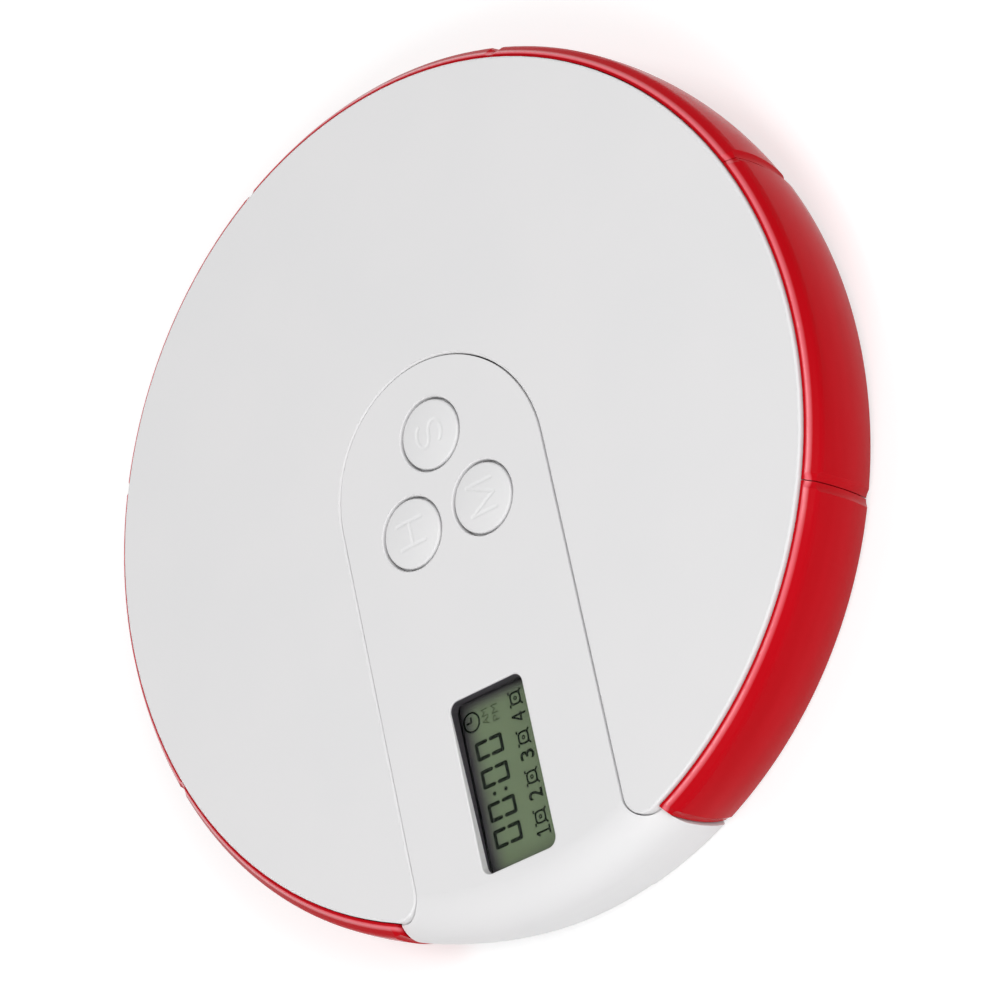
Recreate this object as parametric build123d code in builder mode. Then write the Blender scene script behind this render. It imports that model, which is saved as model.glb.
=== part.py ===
from build123d import *
from math import asin, cos, degrees, radians, sin, tan
import os

os.makedirs("parts", exist_ok=True)

# Round seven-day pill dispenser with an alarm timer.  It lies flat on rubber feet: the rest plane is
# z = 0, +Z points up out of the white cover, and the timer reaches the rim at -Y.  Lengths are in mm
# and angles in degrees.

# ---------------------------------------------------------------- driving dimensions
# height stack, from the rest plane up through the battery bay, the board and the display
foot_height = 1.0
door_thickness = 1.6
cell_clearance = 0.3
cell_diameter = 10.5
board_clearance = 0.5
board_thickness = 1.0
strip_height = 0.8
panel_thickness = 1.3
frame_lip = 0.3
lens_thickness = 0.8
cover_thickness = 1.9
base_thickness = 2.6

# ring of drawers around the disc
sector_count = 8
cover_radius = 75.0
base_inset = 0.2
face_gap = 0.15
face_ledge = 0.7
face_ledge_drop = 0.85
face_ledge_round = 0.3
face_shoulder_drop = 2.8
face_shoulder_round = 2.0
face_belly = 2.7
face_belly_rise = 10.8
face_barrel = 35.0
face_lift = 0.4
face_bottom_round = 1.05
face_end_gap = 0.08
scoop_radius = 2.4
scoop_depth = 0.6
scoop_ledge_depth = 0.35
scoop_ledge_length = 8.0

# drawers
tray_wall = 1.2
tray_floor = 1.2
tray_floor_round = 1.8
tray_corner_round = 2.5
floor_clearance = 0.3
lid_clearance = 0.4
side_clearance = 0.4
keel_width = 4.0
keel_length = 7.0
keel_inset = 1.0
keel_height = 1.5
keel_clearance = 0.2
drawer_travel = 34.0
side_drawer_travel = 28.0

# base
base_edge_chamfer = 0.5
divider_thickness = 1.2
divider_end_gap = 0.4
rib_width = 1.2
rib_height = 2.0
rib_gap = 0.2
rib_end = 58.0
foot_radius = 5.0
foot_ring_radius = 66.0
foot_seat = 0.6
foot_fit = 0.1

# cover
slot_gap = 0.25
cover_edge_round = 0.4
cover_corner_round = 4.0
boss_radius = 2.6
boss_edge_gap = 0.85
boss_tray_gap = 1.0

# timer housing
tongue_half_width = 22.5
housing_wall = 1.6
housing_bulge = 2.5
housing_roll = 7.5
housing_inner_roll = 3.6
housing_end_gap = 0.3
ledge_gap = 0.2
window_length = 30.8
window_width = 16.0
window_corner = 1.8
window_rim_gap = 6.5
opening_edge_round = 0.25
post_radius = 2.6
post_gap = 0.3
post_near = -16.0
post_far = -50.0
board_post_radius = 2.0
board_post_inset = 2.2
board_post_turn = 40.0
board_post_low = -33.0

# keys
key_radius = 6.15
key_gap = 0.45
key_proud = 0.3
key_crown = 0.35
key_edge_round = 0.4
key_flange = 0.9
key_flange_thickness = 0.9
key_flange_gap = 0.15
key_stem_radius = 1.8
key_travel = 0.5
key_high = 9.4
key_low = -6.0
key_spread = 8.05

# display
lens_margin = 1.1
panel_margin = 1.6
panel_step = 1.4
panel_fit = 0.1
frame_wall = 1.0
strip_width = 1.2

# circuit board and what it carries
board_side_gap = 1.9
board_end_gap = 3.0
post_hole_gap = 0.3
switch_size = 6.0
switch_height = 1.3
plunger_radius = 1.2
plunger_fit = 0.08
plunger_rise = 0.6
plunger_floor_gap = 0.1
chip_radius = 4.5
chip_height = 1.4
chip_place = (-3.0, -22.0)
crystal_radius = 1.0
crystal_length = 6.0
crystal_place = (7.0, -26.0)
buzzer_radius = 6.0
buzzer_height = 8.4
buzzer_centre = 3.0
buzzer_port_radius = 1.2
sound_hole_radius = 0.8
sound_hole_ring = 3.2

# battery bay and its sliding door
cell_body_length = 43.4
cell_nub_radius = 1.9
cell_nub_length = 1.1
cell_edge_round = 0.6
cell_gap = 0.6
cell_side_gap = 0.4
bay_rim_gap = 11.05
bay_wall = 1.2
contact_thickness = 0.4
contact_width = 9.0
contact_height = 8.0
spring_length = 4.2
spring_wire = 0.5
spring_wide_radius = 3.4
spring_turns = 3.5
spring_cone = 14.0
spring_wire_sides = 8
door_overlap = 0.4
door_flange = 1.2
door_flange_thickness = 0.7
door_flange_clearance = 0.1
door_side_clearance = 0.15
door_end_overlap = 2.0
grip_count = 5
grip_pitch = 1.8
grip_width = 0.8
grip_depth = 0.35
grip_length = 11.0

# self-tapping screws
screw_radius = 1.0
screw_length = 8.0
screw_head_radius = 2.1
screw_head_height = 1.0
screw_head_recess = 0.2
screw_fit = 0.02
screw_clearance = 0.15
screw_slot_width = 0.5
screw_slot_depth = 0.45
board_screw_length = 2.6

# ---------------------------------------------------------------- derived places
sector_angle = 360 / sector_count
half_sector = sector_angle / 2
timer_angle = -90.0
drawer_angles = [timer_angle + sector_angle * (number + 1) for number in range(sector_count - 1)]
first_divider_angle = timer_angle + sector_angle + half_sector
divider_count = sector_count - 2
divider_range = sector_angle * (divider_count - 1)

base_bottom = foot_height
base_top = base_bottom + base_thickness
door_top = base_bottom + door_thickness
cell_radius = cell_diameter / 2
cell_axis_height = door_top + cell_clearance + cell_radius
board_bottom = cell_axis_height + cell_radius + board_clearance
board_top = board_bottom + board_thickness
panel_bottom = board_top + strip_height
panel_top = panel_bottom + panel_thickness
lens_bottom = panel_top + frame_lip
cover_bottom = lens_bottom + lens_thickness
cover_top = cover_bottom + cover_thickness

base_radius = cover_radius - base_inset
face_inner_radius = cover_radius + face_gap
face_ledge_radius = face_inner_radius + face_ledge
face_belly_radius = face_inner_radius + face_belly
housing_radius = face_inner_radius + housing_bulge
face_bottom = base_bottom + face_lift
face_belly_height = face_bottom + face_belly_rise
face_shoulder_height = cover_top - face_shoulder_drop
face_barrel_middle = face_belly_radius - face_barrel
face_foot_radius = face_barrel_middle + (face_barrel**2 - face_belly_rise**2) ** 0.5
face_shoulder_rise = face_shoulder_height - face_belly_height
face_shoulder_radius = face_barrel_middle + (face_barrel**2 - face_shoulder_rise**2) ** 0.5
face_top = cover_top - face_ledge_drop
tray_bottom = base_top + floor_clearance
tray_top = cover_bottom - lid_clearance
side_inset = divider_thickness / 2 + side_clearance
boss_ring_radius = (tongue_half_width + slot_gap + boss_edge_gap + boss_radius) / cos(radians(half_sector))
divider_start = boss_ring_radius + boss_radius + divider_end_gap
tray_back = boss_ring_radius * cos(radians(half_sector)) + boss_radius + boss_tray_gap
post_side = tongue_half_width - housing_wall - rib_gap - rib_width - post_gap - post_radius
housing_post_places = [(side * post_side, y) for side in (-1, 1) for y in (post_near, post_far)]
board_half_width = tongue_half_width - housing_wall - board_side_gap
board_post_reach = board_half_width - board_post_inset
board_post_places = [
    (side * x, y)
    for side in (-1, 1)
    for x, y in (
        (board_post_reach * cos(radians(board_post_turn)), board_post_reach * sin(radians(board_post_turn))),
        (board_post_reach, board_post_low),
    )
]
key_places = {
    "set": (0.0, key_high),
    "hour": (-key_spread, key_low),
    "minute": (key_spread, key_low),
}
key_flange_top = cover_bottom - key_flange_gap
key_flange_bottom = key_flange_top - key_flange_thickness
plunger_top = board_top + switch_height + plunger_rise
window_centre = -(cover_radius - window_rim_gap - window_length / 2)
panel_length = window_length + 2 * panel_margin
panel_width = window_width + 2 * panel_margin
cell_offset = cell_radius + cell_gap / 2
cell_length = cell_body_length + cell_nub_length
bay_half_width = cell_offset + cell_radius + cell_side_gap
bay_length = cell_length + spring_length + 2 * contact_thickness
bay_centre = -(base_radius - bay_rim_gap - bay_length / 2)
door_half_width = bay_half_width + door_overlap
door_inner_end = bay_centre + bay_length / 2 + door_end_overlap
screw_seat = base_bottom + screw_head_recess + screw_head_height


def sector_plane(angle, height):
    """Level plane at a height, with its X axis pointing out along one sector's centre line."""
    outward = (cos(radians(angle)), sin(radians(angle)), 0)
    return Plane(origin=(0, 0, height), x_dir=outward, z_dir=(0, 0, 1))


def radial_plane(angle):
    """Upright plane through the disc's axis: local x is the radius and local y is the height."""
    outward = (cos(radians(angle)), sin(radians(angle)), 0)
    return Plane(origin=(0, 0, 0), x_dir=outward, z_dir=(sin(radians(angle)), -cos(radians(angle)), 0))


def dome_point(radius, rise):
    """Point halfway out on a shallow dome of the given radius, measured up from its rim."""
    sphere = (radius**2 + rise**2) / (2 * rise)
    return radius / 2, rise - sphere + (sphere**2 - radius**2 / 4) ** 0.5


def sector_side(radius, inset):
    """Point on a circle where the line lies that runs beside the sector's edge, inset from it."""
    turn = half_sector - degrees(asin(inset / radius))
    return radius * cos(radians(turn)), radius * sin(radians(turn))


def tray_block(angle, beside_timer, inset, low, high, front_radius):
    """Wedge of one drawer: parallel to the dividers, flat at the back, clear of the timer housing."""
    side = side_inset + inset
    back = tray_back + inset
    back_half = back * tan(radians(half_sector)) - side / cos(radians(half_sector))
    front_x, front_y = sector_side(front_radius, side)
    timer_half = tongue_half_width + side_clearance + inset
    with BuildPart() as block:
        with BuildSketch(sector_plane(angle, low)):
            with BuildLine():
                Polyline((front_x, -front_y), (back, -back_half), (back, back_half), (front_x, front_y))
                ThreePointArc((front_x, front_y), (front_radius, 0), (front_x, -front_y))
            make_face()
        extrude(amount=high - low)
        if beside_timer:
            with BuildSketch(Plane.XY.offset(low)):
                Rectangle(2 * timer_half, 2 * cover_radius)
            extrude(amount=high - low, mode=Mode.SUBTRACT)
    return block.part


def cover_outline(growth):
    """Disc with the slot for the timer's tongue, open at the rim, with rounded horn corners."""
    slot_half = tongue_half_width + slot_gap - growth
    with BuildSketch() as outline:
        Circle(cover_radius + growth)
        Circle(slot_half, mode=Mode.SUBTRACT)
        with Locations((0, -cover_radius)):
            Rectangle(2 * slot_half, 2 * cover_radius, mode=Mode.SUBTRACT)
        fillet(outline.vertices().group_by(Axis.Y)[0], cover_corner_round + growth)
    return outline.sketch


def timer_outline(inset):
    """Plan of the timer: a round-ended tongue that widens to a whole sector at the rim."""
    half = tongue_half_width - inset
    edge = housing_end_gap + inset
    reach = 1.2 * face_belly_radius
    apex = edge / sin(radians(half_sector))
    spread = reach * tan(radians(half_sector)) - edge / cos(radians(half_sector))
    with BuildSketch() as outline:
        Circle(half)
        with Locations((0, -face_inner_radius / 2)):
            Rectangle(2 * half, face_inner_radius)
        with BuildLine():
            Polyline((0, -apex), (-spread, -reach), (spread, -reach), close=True)
        make_face()
    return outline.sketch


def screws(places, seat, length):
    """Pan-head self-tapping screws, driven upwards, with their heads below the seat."""
    head_bottom = seat - screw_head_height
    with BuildPart() as group:
        with BuildSketch(Plane.XY.offset(head_bottom)):
            with Locations(*places):
                Circle(screw_head_radius)
        extrude(amount=screw_head_height)
        with BuildSketch(Plane.XY.offset(seat)):
            with Locations(*places):
                Circle(screw_radius)
        extrude(amount=length)
        with BuildSketch(Plane.XY.offset(head_bottom)):
            with Locations(*places):
                Rectangle(1.3 * screw_head_radius, screw_slot_width)
                Rectangle(screw_slot_width, 1.3 * screw_head_radius)
        extrude(amount=screw_slot_depth, mode=Mode.SUBTRACT)
    return group


# ---------------------------------------------------------------- base
boss_places = [
    (boss_ring_radius * cos(radians(turn)), boss_ring_radius * sin(radians(turn)))
    for turn in [first_divider_angle + sector_angle * number for number in range(divider_count)]
]
foot_places = [
    (foot_ring_radius * cos(radians(turn)), foot_ring_radius * sin(radians(turn)))
    for turn in [half_sector + 90 * number for number in range(4)]
]
keel_start = tray_back + keel_inset
side_keel_start = (tongue_half_width + side_clearance) / cos(radians(sector_angle))
side_keel_start += keel_width / 2 + keel_inset


def keel_run(number):
    """Inner radius of a drawer's keel and the distance that its groove lets it travel."""
    if number in (1, sector_count - 1):
        return side_keel_start, side_drawer_travel
    return keel_start, drawer_travel


with BuildPart() as base:
    with BuildSketch(Plane.XY.offset(base_bottom)):
        Circle(base_radius)
    extrude(amount=base_thickness)
    chamfer(base.faces().sort_by(Axis.Z)[0].edges(), base_edge_chamfer)
    # walls between the drawers, which also carry the cover
    with BuildSketch(Plane.XY.offset(base_top)):
        divider_length = base_radius - divider_start
        middle = divider_start + divider_length / 2
        with PolarLocations(middle, divider_count, first_divider_angle, divider_range, endpoint=True):
            Rectangle(divider_length, divider_thickness)
    extrude(amount=cover_bottom - base_top)
    # rib that centres the timer housing
    with BuildSketch(Plane.XY.offset(base_top)):
        add(timer_outline(housing_wall + rib_gap))
        add(timer_outline(housing_wall + rib_gap + rib_width), mode=Mode.SUBTRACT)
        with Locations((0, -rib_end - cover_radius)):
            Rectangle(4 * cover_radius, 2 * cover_radius, mode=Mode.SUBTRACT)
    extrude(amount=rib_height)
    # battery bay: walls around an opening through the plate
    with BuildSketch(Plane.XY.offset(base_top)):
        with Locations((0, bay_centre)):
            Rectangle(2 * (bay_half_width + bay_wall), bay_length + 2 * bay_wall)
    extrude(amount=board_bottom - board_clearance - base_top)
    with BuildSketch(Plane.XY.offset(base_bottom)):
        with Locations((0, bay_centre)):
            Rectangle(2 * bay_half_width, bay_length)
    extrude(amount=board_bottom - base_bottom, mode=Mode.SUBTRACT)
    # channel for the battery door, with undercut sides, open at the rim
    with BuildSketch(Plane.XY.offset(base_bottom)):
        with Locations((0, door_inner_end + door_side_clearance - cover_radius)):
            Rectangle(2 * (door_half_width + door_side_clearance), 2 * cover_radius)
    extrude(amount=door_thickness + door_flange_clearance, mode=Mode.SUBTRACT)
    with BuildSketch(Plane.XY.offset(door_top - door_flange_thickness - door_flange_clearance)):
        with Locations((0, door_inner_end + door_side_clearance - cover_radius)):
            Rectangle(2 * (door_half_width + door_flange + door_side_clearance), 2 * cover_radius)
    extrude(amount=door_flange_thickness + 2 * door_flange_clearance, mode=Mode.SUBTRACT)
    # guide grooves for the drawers' keels; the outer end of each groove is the drawer's stop
    for number, angle in enumerate(drawer_angles, start=1):
        start, travel = keel_run(number)
        groove_length = keel_length + travel + 2 * keel_clearance
        with BuildSketch(sector_plane(angle, tray_bottom - keel_height - keel_clearance)):
            with Locations((start - keel_clearance + groove_length / 2, 0)):
                Rectangle(groove_length, keel_width + 2 * keel_clearance)
        extrude(amount=keel_height + keel_clearance, mode=Mode.SUBTRACT)
    # screw holes with sunk seats, foot recesses and the sound holes under the buzzer
    with BuildSketch(Plane.XY.offset(base_bottom)):
        with Locations(*boss_places, *housing_post_places):
            Circle(screw_radius + screw_clearance)
        with Locations((0, buzzer_centre)):
            Circle(sound_hole_radius)
            with PolarLocations(sound_hole_ring, 6):
                Circle(sound_hole_radius)
    extrude(amount=base_thickness, mode=Mode.SUBTRACT)
    with BuildSketch(Plane.XY.offset(base_bottom)):
        with Locations(*boss_places, *housing_post_places):
            Circle(screw_head_radius + screw_clearance)
    extrude(amount=screw_seat - base_bottom, mode=Mode.SUBTRACT)
    with BuildSketch(Plane.XY.offset(base_bottom)):
        with Locations(*foot_places):
            Circle(foot_radius + foot_fit)
    extrude(amount=foot_seat, mode=Mode.SUBTRACT)
base.part.label = "base"
export_step(base.part, "parts/base.step")

with BuildPart() as rubber_feet:
    with BuildSketch():
        with Locations(*foot_places):
            Circle(foot_radius)
    extrude(amount=base_bottom + foot_seat)
    chamfer(rubber_feet.faces().group_by(Axis.Z)[0].edges(), foot_height / 3)
rubber_feet.part.label = "rubber_feet"
export_step(rubber_feet.part, "parts/rubber_feet.step")

# ---------------------------------------------------------------- cover
with BuildPart() as top_cover:
    with BuildSketch(Plane.XY.offset(cover_bottom)):
        add(cover_outline(0))
    extrude(amount=cover_thickness)
    fillet(top_cover.faces().sort_by(Axis.Z)[-1].edges(), cover_edge_round)
    with BuildSketch(Plane.XY.offset(base_top)):
        with Locations(*boss_places):
            Circle(boss_radius)
    extrude(amount=cover_bottom - base_top)
    with BuildSketch(Plane.XY.offset(base_top)):
        with Locations(*boss_places):
            Circle(screw_radius + screw_fit)
    extrude(amount=screw_length, mode=Mode.SUBTRACT)
top_cover.part.label = "top_cover"
export_step(top_cover.part, "parts/top_cover.step")

cover_screws = screws(boss_places, screw_seat, screw_length)
cover_screws.part.label = "cover_screws"
export_step(cover_screws.part, "parts/cover_screws.step")


# ---------------------------------------------------------------- drawers
def make_drawer(number, angle):
    """Open pill tray behind a flared front that is scooped at both ends for a finger."""
    beside_timer = number in (1, sector_count - 1)
    floor = tray_bottom + tray_floor
    outside = tray_block(angle, beside_timer, 0, tray_bottom, tray_top, face_inner_radius + face_ledge)
    with BuildPart() as hollow:
        add(tray_block(angle, beside_timer, tray_wall, floor, cover_top, face_inner_radius))
        fillet(hollow.edges().filter_by(Axis.Z), tray_corner_round)
        fillet(hollow.faces().sort_by(Axis.Z)[0].edges(), tray_floor_round)
    end_turn = degrees(face_end_gap / face_belly_radius)
    with BuildPart() as drawer:
        with BuildSketch(radial_plane(angle - half_sector + end_turn)) as section:
            with BuildLine():
                Polyline(
                    (face_shoulder_radius, face_shoulder_height),
                    (face_ledge_radius, face_top),
                    (face_inner_radius, face_top),
                    (face_inner_radius, face_bottom),
                    (face_foot_radius, face_bottom),
                )
                ThreePointArc(
                    (face_foot_radius, face_bottom),
                    (face_belly_radius, face_belly_height),
                    (face_shoulder_radius, face_shoulder_height),
                )
            make_face()
            foot_corner = section.vertices().sort_by_distance((face_foot_radius, face_bottom))[0]
            fillet(foot_corner, face_bottom_round)
            shoulder = section.vertices().sort_by_distance((face_shoulder_radius, face_shoulder_height))[0]
            fillet(shoulder, face_shoulder_round)
            ledge = section.vertices().sort_by_distance((face_ledge_radius, face_top))[0]
            fillet(ledge, face_ledge_round)
        revolve(axis=Axis.Z, revolution_arc=sector_angle - 2 * end_turn)
        # shallow finger scoops down both ends, first over the ledge and then down the barrel
        slope = Vector(face_ledge_radius - face_shoulder_radius, face_top - face_shoulder_height).normalized()
        start = Vector(face_shoulder_radius, face_shoulder_height) - scoop_ledge_length / 2 * slope
        start += (scoop_radius - scoop_ledge_depth) * Vector(slope.Y, -slope.X)
        for turn in (angle - half_sector, angle + half_sector):
            across = radial_plane(turn)
            ledge_start = across.from_local_coords(start)
            with BuildSketch(Plane(origin=ledge_start, z_dir=across.from_local_coords(slope))):
                Circle(scoop_radius)
            extrude(amount=scoop_ledge_length, mode=Mode.SUBTRACT)
            with BuildSketch(sector_plane(turn, face_belly_height)):
                with Locations((face_belly_radius - scoop_depth + scoop_radius, 0)):
                    Circle(scoop_radius)
            barrel_axis = across.from_local_coords((face_barrel_middle, face_belly_height))
            revolve(axis=Axis(barrel_axis, across.z_dir), mode=Mode.SUBTRACT)
        add(outside)
        add(hollow.part, mode=Mode.SUBTRACT)
        # keel that runs in the groove of the base
        start = keel_run(number)[0]
        with BuildSketch(sector_plane(angle, tray_bottom - keel_height)):
            with Locations((start + keel_length / 2, 0)):
                Rectangle(keel_length, keel_width)
        extrude(amount=keel_height)
    return drawer


for number, angle in enumerate(drawer_angles, start=1):
    drawer = make_drawer(number, angle)
    drawer.part.label = f"drawer_{number}"
    export_step(drawer.part, f"parts/drawer_{number}.step")

# ---------------------------------------------------------------- timer housing
with BuildPart() as cavity:
    with BuildSketch(radial_plane(timer_angle)) as section:
        with BuildLine():
            Polyline(
                (0, base_bottom),
                (base_radius, base_bottom),
                (base_radius, cover_bottom),
                (0, cover_bottom),
                close=True,
            )
        make_face()
        fillet(section.vertices().sort_by_distance((base_radius, cover_bottom))[0], housing_inner_roll)
    revolve(axis=Axis.Z)
    with BuildSketch():
        add(timer_outline(housing_wall))
    extrude(amount=cover_top, mode=Mode.INTERSECT)

with BuildPart() as timer_housing:
    with BuildSketch(radial_plane(timer_angle)) as section:
        with BuildLine():
            Polyline(
                (housing_radius, face_belly_height),
                (housing_radius, cover_top),
                (0, cover_top),
                (0, base_top),
                (face_inner_radius, base_top),
                (face_inner_radius, face_bottom),
                (face_foot_radius, face_bottom),
            )
            TangentArc(
                (housing_radius, face_belly_height),
                (face_foot_radius, face_bottom),
                tangent=(0, -1),
            )
        make_face()
        fillet(section.vertices().sort_by_distance((housing_radius, cover_top))[0], housing_roll)
        foot_corner = section.vertices().sort_by_distance((face_foot_radius, face_bottom))[0]
        fillet(foot_corner, face_bottom_round)
    revolve(axis=Axis.Z)
    with BuildSketch():
        add(timer_outline(0))
    extrude(amount=cover_top, mode=Mode.INTERSECT)
    add(cavity.part, mode=Mode.SUBTRACT)
    # ledge that passes under the cover beside the tongue
    with BuildSketch(Plane.XY.offset(cover_bottom - ledge_gap)):
        add(cover_outline(slot_gap))
    extrude(amount=cover_thickness + ledge_gap, mode=Mode.SUBTRACT)
    # posts for the screws from the base, and for the circuit board
    with BuildSketch(Plane.XY.offset(base_top)):
        with Locations(*housing_post_places):
            Circle(post_radius)
    extrude(amount=cover_bottom - base_top)
    with BuildSketch(Plane.XY.offset(board_top)):
        with Locations(*board_post_places):
            Circle(board_post_radius)
    extrude(amount=cover_bottom - board_top)
    with BuildSketch(Plane.XY.offset(base_top)):
        with Locations(*housing_post_places):
            Circle(screw_radius + screw_fit)
    extrude(amount=screw_length, mode=Mode.SUBTRACT)
    with BuildSketch(Plane.XY.offset(board_top)):
        with Locations(*board_post_places):
            Circle(screw_radius + screw_fit)
    extrude(amount=board_screw_length, mode=Mode.SUBTRACT)
    # display window and key holes
    with BuildSketch(Plane.XY.offset(cover_bottom)):
        with Locations((0, window_centre)):
            RectangleRounded(window_width, window_length, window_corner)
        with Locations(*key_places.values()):
            Circle(key_radius + key_gap)
    extrude(amount=cover_thickness, mode=Mode.SUBTRACT)
    top_face = timer_housing.faces().filter_by(Axis.Z).sort_by(Axis.Z)[-1]
    fillet([edge for wire in top_face.inner_wires() for edge in wire.edges()], opening_edge_round)
    # mouth for the battery door through the skirt
    with BuildSketch(Plane.XY):
        with Locations((0, -cover_radius)):
            Rectangle(2 * (door_half_width + door_flange + door_side_clearance), cover_radius / 2)
    extrude(amount=door_top + door_flange_clearance, mode=Mode.SUBTRACT)
timer_housing.part.label = "timer_housing"
export_step(timer_housing.part, "parts/timer_housing.step")

housing_screws = screws(housing_post_places, screw_seat, screw_length)
housing_screws.part.label = "housing_screws"
export_step(housing_screws.part, "parts/housing_screws.step")

# ---------------------------------------------------------------- keys and their switches
for name, place in key_places.items():
    with BuildPart() as key:
        with BuildSketch(Plane(origin=(*place, 0), x_dir=(1, 0, 0), z_dir=(0, -1, 0))) as section:
            with BuildLine():
                rim = cover_top + key_proud - key_crown
                Polyline(
                    (0, cover_top + key_proud),
                    (0, plunger_top),
                    (key_stem_radius, plunger_top),
                    (key_stem_radius, key_flange_bottom),
                    (key_radius + key_flange, key_flange_bottom),
                    (key_radius + key_flange, key_flange_top),
                    (key_radius, key_flange_top),
                    (key_radius, rim),
                )
                across, rise = dome_point(key_radius, key_crown)
                ThreePointArc((key_radius, rim), (across, rim + rise), (0, cover_top + key_proud))
            make_face()
            fillet(section.vertices().sort_by_distance((key_radius, rim))[0], key_edge_round)
        revolve(axis=Axis((*place, 0), (0, 0, 1)))
    key.part.label = f"{name}_key"
    export_step(key.part, f"parts/{name}_key.step")

    with BuildPart() as plunger:
        with BuildSketch(Plane.XY.offset(board_top + key_travel + plunger_floor_gap)):
            with Locations(place):
                Circle(plunger_radius)
        extrude(amount=plunger_top - board_top - key_travel - plunger_floor_gap)
    plunger.part.label = f"{name}_plunger"
    export_step(plunger.part, f"parts/{name}_plunger.step")

with BuildPart() as key_switches:
    with BuildSketch(Plane.XY.offset(board_top)):
        with Locations(*key_places.values()):
            Rectangle(switch_size, switch_size)
            Circle(plunger_radius + plunger_fit, mode=Mode.SUBTRACT)
    extrude(amount=switch_height)
key_switches.part.label = "key_switches"
export_step(key_switches.part, "parts/key_switches.step")

# ---------------------------------------------------------------- display
with BuildPart() as lcd_window:
    with BuildSketch(Plane.XY.offset(lens_bottom)):
        with Locations((0, window_centre)):
            lens_width = window_width + 2 * lens_margin
            RectangleRounded(lens_width, window_length + 2 * lens_margin, window_corner)
    extrude(amount=lens_thickness)
lcd_window.part.label = "lcd_window"
export_step(lcd_window.part, "parts/lcd_window.step")

with BuildPart() as lcd_frame:
    with BuildSketch(Plane.XY.offset(board_top)):
        with Locations((0, window_centre)):
            wall = panel_fit + frame_wall
            Rectangle(panel_width + 2 * wall, panel_length + 2 * wall)
    extrude(amount=lens_bottom - board_top)
    with BuildSketch(Plane.XY.offset(board_top)):
        with Locations((0, window_centre)):
            Rectangle(panel_width + 2 * panel_fit, panel_length + 2 * panel_fit)
    extrude(amount=panel_top - board_top, mode=Mode.SUBTRACT)
    with BuildSketch(Plane.XY.offset(panel_top)):
        with Locations((0, window_centre)):
            Rectangle(window_width, window_length)
    extrude(amount=frame_lip, mode=Mode.SUBTRACT)
lcd_frame.part.label = "lcd_frame"
export_step(lcd_frame.part, "parts/lcd_frame.step")

with BuildPart() as lcd_panel:
    # the rear glass is wider than the front one: its two long edges carry the contacts
    with BuildSketch(Plane.XY.offset(panel_bottom)):
        with Locations((0, window_centre)):
            Rectangle(panel_width, panel_length)
    extrude(amount=panel_thickness / 2)
    with BuildSketch(Plane.XY.offset(panel_bottom + panel_thickness / 2)):
        with Locations((0, window_centre)):
            Rectangle(panel_width - panel_step, panel_length)
    extrude(amount=panel_thickness / 2)
lcd_panel.part.label = "lcd_panel"
export_step(lcd_panel.part, "parts/lcd_panel.step")

with BuildPart() as zebra_strips:
    with BuildSketch(Plane.XY.offset(board_top)):
        strip_offset = (panel_width - strip_width) / 2
        with Locations((-strip_offset, window_centre), (strip_offset, window_centre)):
            Rectangle(strip_width, panel_length)
    extrude(amount=strip_height)
zebra_strips.part.label = "zebra_strips"
export_step(zebra_strips.part, "parts/zebra_strips.step")

# ---------------------------------------------------------------- circuit board
with BuildPart() as circuit_board:
    with BuildSketch(Plane.XY.offset(board_bottom)):
        board_end = base_radius - board_end_gap
        Circle(board_half_width)
        with Locations((0, -board_end / 2)):
            Rectangle(2 * board_half_width, board_end)
        with Locations(*housing_post_places):
            Circle(post_radius + post_hole_gap, mode=Mode.SUBTRACT)
        with Locations(*board_post_places):
            Circle(screw_radius + screw_clearance, mode=Mode.SUBTRACT)
    extrude(amount=board_thickness)
circuit_board.part.label = "circuit_board"
export_step(circuit_board.part, "parts/circuit_board.step")

board_screws = screws(board_post_places, board_bottom, board_thickness + board_screw_length - screw_fit)
board_screws.part.label = "board_screws"
export_step(board_screws.part, "parts/board_screws.step")

with BuildPart() as controller_chip:
    # drop of potting resin over the bare chip
    with BuildSketch(Plane(origin=(*chip_place, 0), x_dir=(1, 0, 0), z_dir=(0, -1, 0))):
        with BuildLine():
            Polyline((0, board_top + chip_height), (0, board_top), (chip_radius, board_top))
            across, rise = dome_point(chip_radius, chip_height)
            ThreePointArc((chip_radius, board_top), (across, board_top + rise), (0, board_top + chip_height))
        make_face()
    revolve(axis=Axis((*chip_place, 0), (0, 0, 1)))
controller_chip.part.label = "controller_chip"
export_step(controller_chip.part, "parts/controller_chip.step")

with BuildPart() as timing_crystal:
    crystal_start = (crystal_place[0], crystal_place[1], board_top + crystal_radius)
    with BuildSketch(Plane(origin=crystal_start, z_dir=(0, 1, 0))):
        Circle(crystal_radius)
    extrude(amount=crystal_length)
    fillet(timing_crystal.edges().filter_by(GeomType.CIRCLE), crystal_radius / 4)
timing_crystal.part.label = "timing_crystal"
export_step(timing_crystal.part, "parts/timing_crystal.step")

with BuildPart() as buzzer:
    with BuildSketch(Plane.XY.offset(board_bottom - buzzer_height)):
        with Locations((0, buzzer_centre)):
            Circle(buzzer_radius)
    extrude(amount=buzzer_height)
    fillet(buzzer.faces().sort_by(Axis.Z)[0].edges(), buzzer_radius / 10)
    with BuildSketch(Plane.XY.offset(board_bottom - buzzer_height)):
        with Locations((0, buzzer_centre)):
            Circle(buzzer_port_radius)
    extrude(amount=buzzer_port_radius, mode=Mode.SUBTRACT)
buzzer.part.label = "buzzer"
export_step(buzzer.part, "parts/buzzer.step")

# ---------------------------------------------------------------- cells, contacts and door
bay_inner_end = bay_centre + bay_length / 2
bay_outer_end = bay_centre - bay_length / 2
cell_runs = [
    (-cell_offset, bay_outer_end + contact_thickness, 1),
    (cell_offset, bay_inner_end - contact_thickness, -1),
]

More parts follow.
